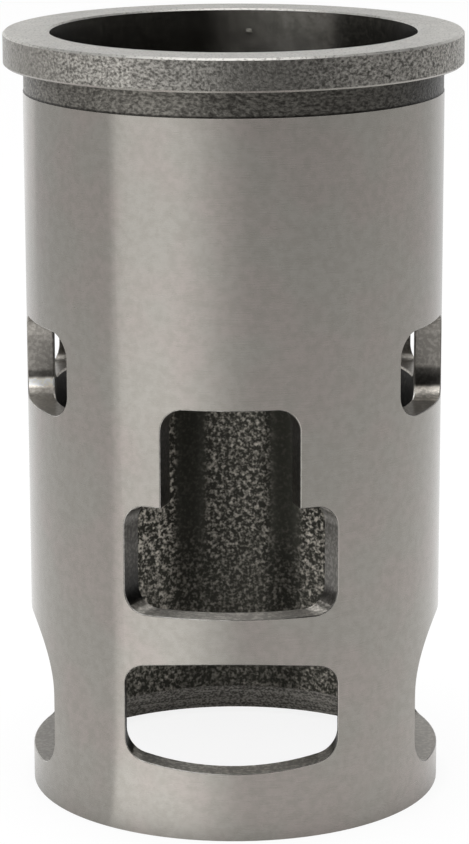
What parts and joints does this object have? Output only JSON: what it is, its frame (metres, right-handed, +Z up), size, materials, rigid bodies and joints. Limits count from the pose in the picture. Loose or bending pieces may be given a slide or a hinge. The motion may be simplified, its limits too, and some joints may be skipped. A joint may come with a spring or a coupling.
{
  "type": "cylinder liner",
  "caption": "Flanged cast-iron cylinder liner for a two-stroke engine, with intake, transfer and exhaust windows in its wall.",
  "frame": {"origin": "centre of the bottom end, on the bore's axis", "axes": "+Z up the bore to the deck, -Y towards the intake window, +Y towards the exhaust port, transfer ports on -X and +X"},
  "size_m": [0.0676, 0.0676, 0.1146],
  "materials": {
    "cast_iron": "ground outside, turned flange, rough-bored inside"
  },
  "bodies": {
    "root": {"cylinder_liner": "cast_iron"}
  },
  "joints": []
}
